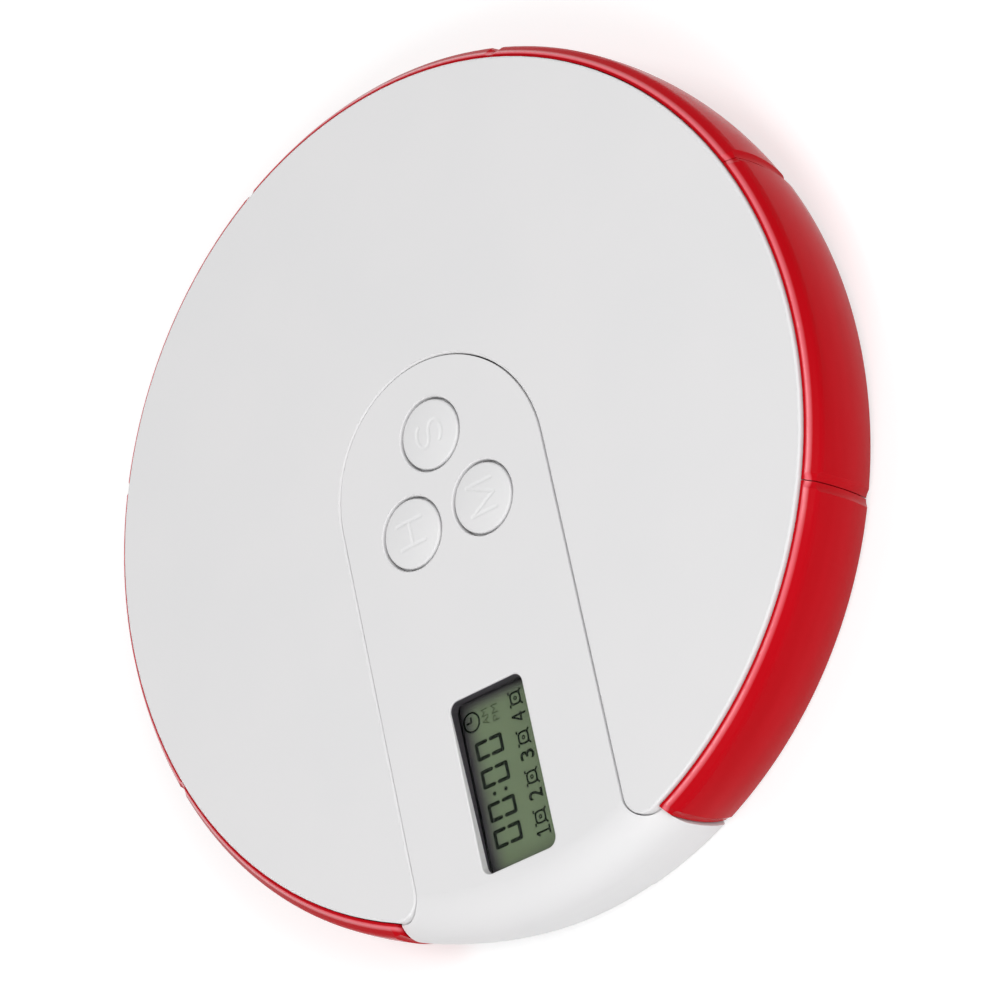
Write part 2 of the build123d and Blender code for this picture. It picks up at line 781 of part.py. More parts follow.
for number, (side, start, way) in enumerate(cell_runs, start=1):
    # each cell sits between its coil spring and the flat contact that its nub touches
    with BuildPart() as battery:
        cell_foot = Plane(origin=(side, start + way * spring_length, cell_axis_height), z_dir=(0, way, 0))
        with BuildSketch(cell_foot):
            Circle(cell_radius)
        extrude(amount=cell_body_length)
        fillet(battery.edges().filter_by(GeomType.CIRCLE), cell_edge_round)
        with BuildSketch(cell_foot.offset(cell_body_length)):
            Circle(cell_nub_radius)
        extrude(amount=cell_nub_length)
    battery.part.label = f"battery_{number}"
    export_step(battery.part, f"parts/battery_{number}.step")

with BuildPart() as battery_springs:
    for side, start, way in cell_runs:
        coil = Helix(
            pitch=(spring_length - spring_wire) / spring_turns,
            height=spring_length - spring_wire,
            radius=spring_wide_radius,
            center=(side, start + way * spring_wire / 2, cell_axis_height),
            direction=(0, way, 0),
            cone_angle=-spring_cone,
        )
        with BuildSketch(Plane(origin=coil @ 0, z_dir=coil % 0)):
            RegularPolygon(spring_wire / 2, spring_wire_sides)
        sweep(path=coil, is_frenet=True)
battery_springs.part.label = "battery_springs"
export_step(battery_springs.part, "parts/battery_springs.step")

with BuildPart() as contact_plates:
    # one plate bridges both cells at the rim end; at the inner end each cell has its own
    with BuildSketch(Plane(origin=(0, bay_outer_end, cell_axis_height), x_dir=(1, 0, 0), z_dir=(0, -1, 0))):
        Rectangle(2 * cell_offset + contact_width, contact_height)
    extrude(amount=-contact_thickness)
    with BuildSketch(Plane(origin=(0, bay_inner_end, cell_axis_height), x_dir=(1, 0, 0), z_dir=(0, -1, 0))):
        with Locations((-cell_offset, 0), (cell_offset, 0)):
            Rectangle(contact_width, contact_height)
    extrude(amount=contact_thickness)
contact_plates.part.label = "contact_plates"
export_step(contact_plates.part, "parts/contact_plates.step")

door_end_radius = face_inner_radius
with BuildPart() as battery_door:
    with BuildSketch(Plane.XY.offset(base_bottom)):
        with Locations((0, door_inner_end - cover_radius)):
            Rectangle(2 * door_half_width, 2 * cover_radius)
    extrude(amount=door_thickness)
    with BuildSketch(Plane.XY.offset(door_top - door_flange_thickness)):
        with Locations((0, door_inner_end - cover_radius)):
            Rectangle(2 * (door_half_width + door_flange), 2 * cover_radius)
    extrude(amount=door_flange_thickness)
    with BuildSketch(Plane.XY.offset(base_bottom)):
        Circle(door_end_radius)
    extrude(amount=door_thickness, mode=Mode.INTERSECT)
    # thumb grip
    with BuildSketch(Plane.XY.offset(base_bottom)):
        with Locations((0, bay_centre)):
            with GridLocations(0, grip_pitch, 1, grip_count):
                Rectangle(grip_length, grip_width)
    extrude(amount=grip_depth, mode=Mode.SUBTRACT)
battery_door.part.label = "battery_door"
export_step(battery_door.part, "parts/battery_door.step")
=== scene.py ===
import bmesh
import bpy
from math import copysign, cos, pi, radians, sin, sqrt
from mathutils import Matrix, Vector


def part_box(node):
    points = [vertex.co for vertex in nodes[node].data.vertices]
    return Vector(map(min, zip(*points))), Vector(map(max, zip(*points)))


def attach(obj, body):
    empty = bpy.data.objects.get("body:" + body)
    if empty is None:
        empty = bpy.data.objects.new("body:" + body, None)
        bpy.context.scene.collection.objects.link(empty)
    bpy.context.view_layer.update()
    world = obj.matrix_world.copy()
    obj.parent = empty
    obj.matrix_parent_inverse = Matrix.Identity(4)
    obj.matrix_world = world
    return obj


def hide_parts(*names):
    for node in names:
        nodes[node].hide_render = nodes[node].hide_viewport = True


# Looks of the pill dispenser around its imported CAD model.  Lengths are in metres, in the model's own
# frame: z = 0 is the table, +Z points up out of the white cover, and the timer reaches the rim at -Y.

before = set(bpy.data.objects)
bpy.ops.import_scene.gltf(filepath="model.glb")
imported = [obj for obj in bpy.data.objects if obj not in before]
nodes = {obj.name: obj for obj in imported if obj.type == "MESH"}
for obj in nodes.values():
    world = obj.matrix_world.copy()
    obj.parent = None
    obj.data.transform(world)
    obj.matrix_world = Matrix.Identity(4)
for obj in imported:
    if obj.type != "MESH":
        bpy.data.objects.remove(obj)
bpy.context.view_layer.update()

MM = 0.001


def node_box(name):
    """Lowest corner, highest corner and centre of a CAD node."""
    low, high = (Vector(corner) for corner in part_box(name))
    return low, high, (low + high) / 2


# ---------------------------------------------------------------- places read from the frame
_, cover_high, cover_middle = node_box("top_cover")
_, panel_high, panel_middle = node_box("lcd_panel")
_, lens_high, _ = node_box("lcd_window")
door_low, _, door_middle = node_box("battery_door")
cover_top, panel_top, lens_top = cover_high.z, panel_high.z, lens_high.z

# ---------------------------------------------------------------- display layout
# in mm from the panel's centre; "along" runs to the right of the lettering (+Y), "up" to its top (-X)
ink_thickness = 0.03

# the time, four zeros and a colon: a digit's bars are cut off at its corners and break at half height
digit_up = 3.4
digit_height = 6.0
digit_width = 3.35
digit_stroke = 0.68
digit_corner = 0.306
digit_break = 0.4
digit_break_tip = digit_break / 3
digit_places = (-9.3, -4.6, 1.4, 6.4)
colon_place = -1.6
colon_spread = 1.25
colon_drop = 0.3
colon_radius = 0.38

# the clock face above AM and PM; its hands are shares of its radius
clock_place = (11.8, 6.0)
clock_radius = 1.85
clock_long_hand = 0.62
clock_short_hand = 0.5
half_day_place = 11.7
half_day_rows = {"AM": 3.0, "PM": 0.75}
half_day_height = 1.45
half_day_width = 2.9

# the row of four alarms: a numeral, whose strokes are shares of its width and height, and its icon
alarm_count = 4
alarm_up = -3.9
alarm_start = -11.8
alarm_pitch = 7.05
alarm_digit_height = 3.0
alarm_digit_width = 1.65
alarm_digit_stroke = 0.36
numeral_boldness = 0.018
numeral_strokes = {
    1: (((0.0, -0.5), (0.0, 0.5)), ((-0.35, 0.25), (0.0, 0.5)), ((-0.45, -0.45), (0.45, -0.45))),
    4: (((0.22, -0.5), (0.22, 0.5)), ((-0.5, -0.14), (0.5, -0.14)), ((-0.42, -0.14), (0.22, 0.5))),
}
numeral_shifts = {1: 0.55, 4: -0.2}
alarm_icon_offset = 3.1
alarm_icon_radius = 1.2
alarm_icon_squareness = 3.2
alarm_bell_half_width = 0.3
alarm_bell_place = (0.95, 1.05)
alarm_foot_start = (0.75, -0.8)
alarm_foot_end = (1.15, -1.15)
alarm_dial = (0.32, 0.12)
icon_stroke = 0.36

# charcoal gasket inside the window, in mm, which also stands in for the shade on the window's wall: it
# stands high at the end by the keys, where the wall is shaded, and slopes to the rim
window_length = 30.8
window_width = 16.0
window_corner = 1.8
gasket_wall = 0.18
gasket_gap = 0.02
gasket_shade_high_drop = 0.3
gasket_shade_low_drop = 1.7
gasket_corner_steps = 6

# how far the painted shade of the window's walls fades in over the panel from each side, in mm
window_shade_up = 4.0
window_shade_down = 0.9
window_shade_start = 1.8
window_shade_end = 2.8
window_shade_colour = (0.050, 0.045, 0.050)

# ---------------------------------------------------------------- key letters and door arrow, in mm
key_letters = {"set_key": "S", "hour_key": "H", "minute_key": "M"}
letter_height = 5.4
letter_widths = {"S": 4.2, "H": 4.4, "M": 5.4}
letter_half_stroke = 0.26
letter_softness = 0.14
letter_depth = 0.1

# the CAD model's keys, which are turned again here so that their crowns can carry a letter
key_radius = 6.15
key_crown = 0.35
key_edge_round = 0.4
key_flange_drop = 2.35
key_flange_thickness = 0.9
key_stem_radius = 1.8
key_ring_pitch = 0.12
key_steps = 180

arrow_length = 6.0
arrow_half_width = 3.2
arrow_height = 0.15
arrow_root = 0.05
arrow_place = -56.0

# ---------------------------------------------------------------- painted highlight on the thin edge of the drawers' faces, in mm
# radii between which the painted highlight rises and falls, and how far below the cover's top it starts
face_edge_start = 75.55
face_edge_full = 75.76
face_edge_fade = 75.97
face_edge_end = 76.45
face_edge_drop = 2.0
face_edge_depth = 4.0

# ---------------------------------------------------------------- camera and light
# fitted to the photograph's cover, rim and tongue; a lamp has its place, its side and its power
camera_place = (0.393575, -0.270663, 0.553586)
camera_right = (0.74843, -0.19758, -0.63310)
camera_up = (0.38442, 0.90712, 0.17135)
camera_lens = 151.1
camera_sensor = 36.0
sky_level = 0.36
floor_size = 6.0
floor_grey = 0.80
floor_glow_near = 0.4
floor_glow_far = 0.75
floor_near = 0.5
floor_far = 2.0
lamps = {
    "top_light": ((-0.31, 0.21, 1.40), 0.40, 3.0),
    "front_light": ((0.15, -1.05, 0.90), 0.70, 7.5),
    "side_light": ((1.05, -0.10, 0.90), 0.70, 7.5),
}


# ---------------------------------------------------------------- node helpers
def new_material(name):
    """Material with an empty Principled shader, and the tools to fill it."""
    mat = bpy.data.materials.new(name + "_finish")
    mat.use_nodes = True
    tree = mat.node_tree
    shader = next(node for node in tree.nodes if node.type == "BSDF_PRINCIPLED")
    return mat, tree, shader


def object_place(tree):
    """Coordinates of the mesh in metres."""
    return tree.nodes.new("ShaderNodeTexCoord").outputs["Object"]


def stretched(tree, place, scale):
    """Coordinates times a scale for each axis."""
    mapping = tree.nodes.new("ShaderNodeMapping")
    mapping.inputs["Scale"].default_value = scale
    tree.links.new(place, mapping.inputs["Vector"])
    return mapping.outputs["Vector"]


def vector_length(tree, vector):
    """Length of a vector."""
    node = tree.nodes.new("ShaderNodeVectorMath")
    node.operation = "LENGTH"
    tree.links.new(vector, node.inputs[0])
    return node.outputs["Value"]


def noise(tree, vector, scale, detail=3.0):
    """Noise value between 0 and 1."""
    node = tree.nodes.new("ShaderNodeTexNoise")
    node.inputs["Scale"].default_value = scale
    node.inputs["Detail"].default_value = detail
    tree.links.new(vector, node.inputs["Vector"])
    return node.outputs["Fac"]


def spread(tree, value, low, high, out_low=0.0, out_high=1.0):
    """Stretches a value from one range to another, and holds it there."""
    node = tree.nodes.new("ShaderNodeMapRange")
    node.inputs["From Min"].default_value = low
    node.inputs["From Max"].default_value = high
    node.inputs["To Min"].default_value = out_low
    node.inputs["To Max"].default_value = out_high
    tree.links.new(value, node.inputs["Value"])
    return node.outputs["Result"]


def blend_colours(tree, factor, first, second):
    """Mixes two colours, or a socket and a colour, by a factor."""
    node = tree.nodes.new("ShaderNodeMix")
    node.data_type = "RGBA"
    tree.links.new(factor, node.inputs["Factor"])
    colour_inputs = [socket for socket in node.inputs if socket.type == "RGBA"]
    for socket, colour in zip(colour_inputs, (first, second)):
        if isinstance(colour, bpy.types.NodeSocket):
            tree.links.new(colour, socket)
        else:
            socket.default_value = (*colour, 1.0)
    return next(socket for socket in node.outputs if socket.type == "RGBA")


def multiplied(tree, first, second):
    """Product of two values."""
    node = tree.nodes.new("ShaderNodeMath")
    node.operation = "MULTIPLY"
    tree.links.new(first, node.inputs[0])
    tree.links.new(second, node.inputs[1])
    return node.outputs["Value"]


def bump(tree, shader, height, strength, distance):
    """Adds a fine relief to a shader."""
    node = tree.nodes.new("ShaderNodeBump")
    node.inputs["Strength"].default_value = strength
    node.inputs["Distance"].default_value = distance
    tree.links.new(height, node.inputs["Height"])
    tree.links.new(node.outputs["Normal"], shader.inputs["Normal"])


def settings(shader, **values):
    """Sets shader sockets by name, with spaces written as underscores."""
    for name, value in values.items():
        shader.inputs[name.replace("_", " ")].default_value = value


def moulded_plastic(name, colour, shade, roughness, grain, grain_depth, level=0.5):
    """Moulded plastic: faint flow marks in the colour, a spark-eroded grain and uneven gloss."""
    mat, tree, shader = new_material(name)
    place = object_place(tree)
    flow = spread(tree, noise(tree, place, 45.0, 2.0), 0.35, 0.65)
    tree.links.new(blend_colours(tree, flow, colour, shade), shader.inputs["Base Color"])
    wear = noise(tree, place, 160.0, 4.0)
    rough = spread(tree, wear, 0.3, 0.7, roughness - 0.05, roughness + 0.06)
    tree.links.new(rough, shader.inputs["Roughness"])
    bump(tree, shader, noise(tree, place, grain, 2.0), 0.35, grain_depth)
    settings(shader, Specular_IOR_Level=level)
    return mat


# ---------------------------------------------------------------- materials
def make_white_shell():
    """Matt white cover and housing."""
    white, shade = (0.772, 0.765, 0.770), (0.760, 0.756, 0.762)
    return moulded_plastic("white_shell", white, shade, 0.52, 2600.0, 0.00002, 0.35)


def make_white_key():
    """Keys: the same white, smoother."""
    white, shade = (0.77, 0.765, 0.77), (0.75, 0.75, 0.755)
    return moulded_plastic("white_key", white, shade, 0.42, 1800.0, 0.00001)


def edge_glow(tree, place):
    """1 along the thin upper edge of the drawers' faces, where a highlight is painted into the red."""
    radius = vector_length(tree, stretched(tree, place, (1.0, 1.0, 0.0)))
    axes = tree.nodes.new("ShaderNodeSeparateXYZ")
    tree.links.new(place, axes.inputs["Vector"])
    rising = spread(tree, radius, face_edge_start * MM, face_edge_full * MM)
    falling = spread(tree, radius, face_edge_fade * MM, face_edge_end * MM, 1.0, 0.0)
    high = spread(tree, axes.outputs["Z"], cover_top - face_edge_depth * MM, cover_top - face_edge_drop * MM)
    return multiplied(tree, multiplied(tree, rising, falling), high)


def make_red_drawer():
    """Glossy red with soft streaks along the rim that are a painted reflection, and a painted highlight with
    stronger gloss on the thin upper edge.
    """
    mat, tree, shader = new_material("red_drawer")
    place = object_place(tree)
    along_rim = stretched(tree, place, (0.12, 0.12, 1.0))
    # painted reflection: soft lighter and darker bands along the rim stand in for the banded reflection on
    # the faces
    painted_reflection_streak = spread(tree, noise(tree, along_rim, 150.0, 3.0), 0.35, 0.7)
    red = blend_colours(tree, painted_reflection_streak, (0.51, 0.004, 0.010), (0.45, 0.002, 0.006))
    # painted highlight mask along the thin upper edge: the colour turns pale pink there and the gloss rises
    glow = edge_glow(tree, place)
    tree.links.new(blend_colours(tree, glow, red, (0.78, 0.10, 0.13)), shader.inputs["Base Color"])
    haze = noise(tree, place, 220.0, 4.0)
    tree.links.new(spread(tree, haze, 0.3, 0.7, 0.15, 0.26), shader.inputs["Roughness"])
    tree.links.new(spread(tree, glow, 0.0, 1.0, 0.03, 0.8), shader.inputs["Specular IOR Level"])
    bump(tree, shader, noise(tree, along_rim, 120.0, 2.0), 0.12, 0.00008)
    return mat


def seal_fade(tree, place):
    """1 over the middle of the panel, falling off towards the window's sides, where the walls' shade is
    painted on.
    """
    axes = tree.nodes.new("ShaderNodeSeparateXYZ")
    tree.links.new(place, axes.inputs["Vector"])
    half_width, half_length = window_width / 2 * MM, window_length / 2 * MM
    sides = (
        ("X", panel_middle.x - half_width, window_shade_up),
        ("X", panel_middle.x + half_width, -window_shade_down),
        ("Y", panel_middle.y + half_length, -window_shade_end),
        ("Y", panel_middle.y - half_length, window_shade_start),
    )
    fade = None
    for axis, side, reach in sides:
        ramp = spread(tree, axes.outputs[axis], side, side + reach * MM)
        ramp.node.interpolation_type = "SMOOTHSTEP"
        fade = ramp if fade is None else multiplied(tree, fade, ramp)
    return fade


def make_lcd_glass():
    """Grey-green liquid crystal glass with the reflector's fine grain, and painted shade along the window's
    walls.
    """
    mat, tree, shader = new_material("lcd_glass")
    place = object_place(tree)
    grain = noise(tree, place, 5200.0, 2.0)
    patch = spread(tree, noise(tree, place, 110.0, 2.0), 0.3, 0.7)
    base = blend_colours(tree, patch, (0.107, 0.141, 0.079), (0.101, 0.130, 0.072))
    mixed = blend_colours(tree, spread(tree, grain, 0.35, 0.75), base, (0.119, 0.154, 0.087))
    # painted shade: the glass darkens towards the window's walls, furthest in from the lettering's top side
    shaded_glass = blend_colours(tree, seal_fade(tree, place), window_shade_colour, mixed)
    tree.links.new(shaded_glass, shader.inputs["Base Color"])
    tree.links.new(spread(tree, grain, 0.3, 0.7, 0.35, 0.5), shader.inputs["Roughness"])
    bump(tree, shader, grain, 0.1, 0.00001)
    settings(shader, Specular_IOR_Level=0.15)
    return mat


def make_lcd_ink():
    """Dark segments of the display."""
    dark, less_dark = (0.001, 0.003, 0.001), (0.003, 0.006, 0.002)
    return moulded_plastic("lcd_ink", dark, less_dark, 0.5, 2000.0, 0.000005, 0.05)


def make_lcd_faint_ink():
    """Segments of the display that are only half driven."""
    dark, less_dark = (0.042, 0.058, 0.031), (0.050, 0.068, 0.038)
    return moulded_plastic("lcd_faint_ink", dark, less_dark, 0.5, 2000.0, 0.000005, 0.05)


def make_gasket_rubber():
    """Charcoal gasket around the window."""
    charcoal, shade = (0.050, 0.046, 0.052), (0.065, 0.060, 0.068)
    return moulded_plastic("gasket_rubber", charcoal, shade, 0.7, 1800.0, 0.00002, 0.2)


def make_clear_lens():
    """Clear window over the display, with faint wiping marks."""
    mat, tree, shader = new_material("clear_lens")
    place = object_place(tree)
    tint = blend_colours(tree, noise(tree, place, 60.0, 2.0), (0.97, 0.985, 0.97), (0.955, 0.975, 0.96))
    tree.links.new(tint, shader.inputs["Base Color"])
    haze = noise(tree, place, 900.0, 4.0)
    tree.links.new(spread(tree, haze, 0.5, 0.8, 0.0, 0.02), shader.inputs["Roughness"])
    settings(shader, Transmission_Weight=1.0, IOR=1.15)
    return mat


def make_black_plastic():
    """Black plastic of the display frame, the buzzer and the resin drop."""
    black, shade = (0.018, 0.018, 0.019), (0.028, 0.028, 0.029)
    return moulded_plastic("black_plastic", black, shade, 0.45, 2200.0, 0.00002)


def make_foot_rubber():
    """Soft dark grey rubber, dusty on top of its grain."""
    dark, dusty = (0.045, 0.045, 0.047), (0.075, 0.075, 0.075)
    return moulded_plastic("foot_rubber", dark, dusty, 0.8, 1500.0, 0.00006, 0.3)


def metal(name, colour, stain, roughness, scratch_scale, stretch):
    """Metal with fine scratches drawn out along one axis, and slight stains."""
    mat, tree, shader = new_material(name)
    place = object_place(tree)
    scratch = noise(tree, stretched(tree, place, stretch), scratch_scale, 4.0)
    stained = blend_colours(tree, spread(tree, noise(tree, place, 260.0, 3.0), 0.4, 0.75), colour, stain)
    tree.links.new(stained, shader.inputs["Base Color"])
    rough = spread(tree, scratch, 0.3, 0.7, roughness - 0.08, roughness + 0.12)
    tree.links.new(rough, shader.inputs["Roughness"])
    bump(tree, shader, scratch, 0.2, 0.00001)
    settings(shader, Metallic=1.0)
    return mat


def make_screw_steel():
    """Zinc-plated screws."""
    return metal("screw_steel", (0.56, 0.57, 0.58), (0.40, 0.40, 0.38), 0.32, 2400.0, (1.0, 1.0, 0.3))


def make_contact_steel():
    """Nickel-plated spring steel."""
    return metal("contact_steel", (0.66, 0.64, 0.60), (0.50, 0.48, 0.44), 0.25, 3000.0, (1.0, 0.2, 1.0))


def make_board_green():
    """Circuit board: solder mask over a faint weave of traces."""
    mat, tree, shader = new_material("board_green")
    place = object_place(tree)
    weave = tree.nodes.new("ShaderNodeTexBrick")
    weave.inputs["Scale"].default_value = 420.0
    weave.inputs["Color1"].default_value = (0.012, 0.10, 0.035, 1.0)
    weave.inputs["Color2"].default_value = (0.016, 0.13, 0.045, 1.0)
    weave.inputs["Mortar"].default_value = (0.02, 0.16, 0.06, 1.0)
    tree.links.new(place, weave.inputs["Vector"])
    tree.links.new(weave.outputs["Color"], shader.inputs["Base Color"])
    tree.links.new(spread(tree, noise(tree, place, 300.0), 0.3, 0.7, 0.25, 0.4), shader.inputs["Roughness"])
    bump(tree, shader, weave.outputs["Fac"], 0.2, 0.00003)
    return mat


def make_cell_jacket():
    """Printed sleeve of a cell: dark blue, a little metallic, with pale scuffs."""
    mat, tree, shader = new_material("cell_jacket")
    place = object_place(tree)
    scuff = spread(tree, noise(tree, place, 500.0, 5.0), 0.5, 0.8)
    sleeve = blend_colours(tree, scuff, (0.02, 0.06, 0.16), (0.05, 0.09, 0.19))
    tree.links.new(sleeve, shader.inputs["Base Color"])
    tree.links.new(spread(tree, scuff, 0.0, 1.0, 0.22, 0.4), shader.inputs["Roughness"])
    bump(tree, shader, scuff, 0.1, 0.00002)
    settings(shader, Metallic=0.3)
    return mat


MATERIALS = {
    "white_shell": make_white_shell(),
    "white_key": make_white_key(),
    "red_drawer": make_red_drawer(),
    "foot_rubber": make_foot_rubber(),
    "screw_steel": make_screw_steel(),
    "contact_steel": make_contact_steel(),
    "black_plastic": make_black_plastic(),
    "clear_lens": make_clear_lens(),
    "lcd_glass": make_lcd_glass(),
    "lcd_ink": make_lcd_ink(),
    "lcd_faint_ink": make_lcd_faint_ink(),
    "gasket_rubber": make_gasket_rubber(),
    "board_green": make_board_green(),
    "cell_jacket": make_cell_jacket(),
}


def dress_nodes():
    """Gives each CAD node the detailed material of the slot that came with it."""
    for node in nodes.values():
        for place, given in enumerate(node.data.materials):
            node.data.materials[place] = MATERIALS[given.name]


# ---------------------------------------------------------------- mesh helpers
def flat_shape(mesh, points, low, high):
    """Adds an upright prism over a level outline, from one height to another."""
    bottom = [mesh.verts.new((x, y, low)) for x, y in points]
    top = [mesh.verts.new((x, y, high)) for x, y in points]
    mesh.faces.new(list(reversed(bottom)))
    mesh.faces.new(top)
    for number in range(len(points)):
        after = (number + 1) % len(points)
        mesh.faces.new((bottom[number], bottom[after], top[after], top[number]))


def ring_shape(mesh, centre, outer, inner, low, high, power=2.0, steps=40):
    """Adds a flat ring; a power above 2 makes it a rounded square."""
    loops = []
    for radius in (outer, inner):
        loop = []
        for step in range(steps):
            turn = 2 * pi * step / steps
            across = copysign(abs(cos(turn)) ** (2 / power), cos(turn))
            along = copysign(abs(sin(turn)) ** (2 / power), sin(turn))
            loop.append((centre[0] + radius * across, centre[1] + radius * along))
        loops.append(loop)
    outside, inside = loops
    for number in range(steps):
        after = (number + 1) % steps
        corners = [outside[number], outside[after], inside[after], inside[number]]
        flat_shape(mesh, corners, low, high)


def stroke_shape(mesh, start, end, width, low, high):
    """Adds a straight bar between two points."""
    run = (Vector(end) - Vector(start)).normalized()
    side = Vector((-run.y, run.x)) * width / 2
    first, last = Vector(start), Vector(end)
    flat_shape(mesh, [first + side, first - side, last - side, last + side], low, high)


def disc_shape(mesh, centre, radius, low, high, steps=24):
    """Adds a small round plate."""
    points = []
    for step in range(steps):
        turn = 2 * pi * step / steps
        points.append((centre[0] + radius * cos(turn), centre[1] + radius * sin(turn)))
    flat_shape(mesh, points, low, high)


def turned_shape(mesh, profile, steps):
    """Adds a turned shape from its half section, a list of radii and heights."""
    rings = []
    for radius, height in profile:
        turns = [2 * pi * step / steps for step in range(steps)] if radius else [0.0]
        rings.append([mesh.verts.new((radius * cos(turn), radius * sin(turn), height)) for turn in turns])
    for inner, outer in zip(rings, rings[1:]):
        for step in range(steps):
            after = (step + 1) % steps
            corners = (inner[step % len(inner)], outer[step % len(outer)], outer[after % len(outer)])
            mesh.faces.new(list(dict.fromkeys((*corners, inner[after % len(inner)]))))


def letter_shape(mesh, text, centre, width, height, low, high, boldness=0.0):
    """Adds plain lettering, stretched to a width and a height about its centre."""
    curve = bpy.data.curves.new("lettering", "FONT")
    curve.body = text
    curve.extrude = 0.5  # any depth will do: the heights are set below
    curve.offset = boldness
    lettering = bpy.data.objects.new("lettering", curve)
    bpy.context.scene.collection.objects.link(lettering)
    bpy.context.view_layer.update()
    shape = bpy.data.meshes.new_from_object(lettering)
    places = [vert.co.copy() for vert in shape.vertices]
    left, right = min(p.x for p in places), max(p.x for p in places)
    foot, head = min(p.y for p in places), max(p.y for p in places)
    new_verts = []
    for place in places:
        x = centre[0] + ((place.x - left) / (right - left) - 0.5) * width
        y = centre[1] + ((place.y - foot) / (head - foot) - 0.5) * height
        new_verts.append(mesh.verts.new((x, y, low if place.z < 0 else high)))
    for face in shape.polygons:
        mesh.faces.new([new_verts[number] for number in face.vertices])
    bpy.data.objects.remove(lettering)
    bpy.data.meshes.remove(shape)
    bpy.data.curves.remove(curve)


def finished(mesh, name, material, place=None):
    """Turns a mesh in mm into an object of one material in metres, and moves it to its place."""
    bmesh.ops.recalc_face_normals(mesh, faces=mesh.faces)
    data = bpy.data.meshes.new(name)
    mesh.to_mesh(data)
    mesh.free()
    data.transform(Matrix.Scale(MM, 4))
    if place is not None:
        data.transform(place)
    piece = bpy.data.objects.new(name, data)
    bpy.context.scene.collection.objects.link(piece)
    data.materials.append(material)
    return piece


def lettering_frame(origin):
    """Turns flat lettering so that its right is +Y and its top is -X, about a point."""
    turn = Matrix(((0, -1, 0), (1, 0, 0), (0, 0, 1))).to_4x4()
    return Matrix.Translation(origin) @ turn


# ---------------------------------------------------------------- display
def add_digit(mesh, along, up):
    """One seven-segment zero: six bars with mitred ends."""
    half_width, half_height = digit_width / 2, digit_height / 2
    inner_width, inner_height = half_width - digit_stroke, half_height - digit_stroke
    for side in (-1, 1):
        bar = [
            (-half_width + digit_corner, side * half_height),
            (half_width - digit_corner, side * half_height),
            (inner_width, side * inner_height),
            (-inner_width, side * inner_height),
        ]
        flat_shape(mesh, [(along + x, up + y) for x, y in bar], 0, ink_thickness)
        for end in (-1, 1):
            bar = [
                (side * (half_width - digit_corner), end * half_height),
                (side * half_width, end * (half_height - digit_corner)),
                (side * half_width, end * digit_break),
                (side * (inner_width + half_width) / 2, end * digit_break_tip),
                (side * inner_width, end * digit_break),
                (side * inner_width, end * inner_height),
            ]
            flat_shape(mesh, [(along + x, up + y) for x, y in bar], 0, ink_thickness)


def add_clock_icon(mesh):
    """Round clock face with two hands."""
    along, up = clock_place
    ring_shape(mesh, clock_place, clock_radius, clock_radius - icon_stroke, 0, ink_thickness)
    hub = (along, up)
    for end in ((along, up + clock_long_hand * clock_radius), (along + clock_short_hand * clock_radius, up)):
        stroke_shape(mesh, hub, end, icon_stroke, 0, ink_thickness)


def add_alarm_icon(mesh, along, up):
    """Small alarm clock: rounded body, dial, two bells and two feet."""
    size = alarm_icon_radius
    dial, dial_hole = (share * size for share in alarm_dial)
    ring_shape(mesh, (along, up), size, size - icon_stroke, 0, ink_thickness, alarm_icon_squareness)
    ring_shape(mesh, (along, up), dial, dial_hole, 0, ink_thickness, steps=20)
    for side in (-1, 1):
        bell, foot_top, foot_end = (
            Vector((along + side * across * size, up + rise * size))
            for across, rise in (alarm_bell_place, alarm_foot_start, alarm_foot_end)
        )
        reach = Vector((alarm_bell_half_width, 0))
        stroke_shape(mesh, bell - reach, bell + reach, icon_stroke, 0, ink_thickness)
        stroke_shape(mesh, foot_top, foot_end, icon_stroke, 0, ink_thickness)


def add_numeral(mesh, number, along, up):
    """An alarm's number: 1 and 4 are drawn with straight strokes, the others are plain lettering."""
    size = (alarm_digit_width, alarm_digit_height)
    if number not in numeral_strokes:
        letter_shape(mesh, str(number), (along, up), *size, 0, ink_thickness, numeral_boldness)
        return
    middle = Vector((along + numeral_shifts[number], up))
    for stroke in numeral_strokes[number]:
        start, end = (middle + Vector((across * size[0], rise * size[1])) for across, rise in stroke)
        stroke_shape(mesh, start, end, alarm_digit_stroke, 0, ink_thickness)


def make_display():
    """Everything that the liquid crystal shows, lying on the panel's front glass."""
    mesh = bmesh.new()
    for along in digit_places:
        add_digit(mesh, along, digit_up)
    for side in (-1, 1):
        spot = (colon_place, digit_up - colon_drop + side * colon_spread)
        disc_shape(mesh, spot, colon_radius, 0, ink_thickness)
    add_clock_icon(mesh)
    for number in range(alarm_count):
        along = alarm_start + number * alarm_pitch
        add_numeral(mesh, number + 1, along, alarm_up)
        add_alarm_icon(mesh, along + alarm_icon_offset, alarm_up)
    faint = bmesh.new()
    for text, up in half_day_rows.items():
        spot = (half_day_place, up)
        letter_shape(faint, text, spot, half_day_width, half_day_height, 0, ink_thickness)
    place = lettering_frame((panel_middle.x, panel_middle.y, panel_top))
    inks = ((mesh, "display_ink", "lcd_ink"), (faint, "display_faint_ink", "lcd_faint_ink"))
    for shape, name, material in inks:
        ink = finished(shape, name, MATERIALS[material], place)
        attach(ink, "body")


def window_loop(inset):
    """Points around the display window, drawn in by an inset, in mm from its middle."""
    radius = window_corner - inset
    corner_x, corner_y = window_width / 2 - window_corner, window_length / 2 - window_corner
    points = []
    for number, (side_x, side_y) in enumerate(((1, 1), (-1, 1), (-1, -1), (1, -1))):
        for step in range(gasket_corner_steps + 1):
            turn = radians(90 * (number + step / gasket_corner_steps))
            points.append((side_x * corner_x + radius * cos(turn), side_y * corner_y + radius * sin(turn)))
    return points


def gasket_top(y):
    """Height of the gasket's upper edge, which falls evenly from the keys' end to the rim's."""
    share = y / window_length + 0.5
    return cover_top / MM - (gasket_shade_low_drop + (gasket_shade_high_drop - gasket_shade_low_drop) * share)


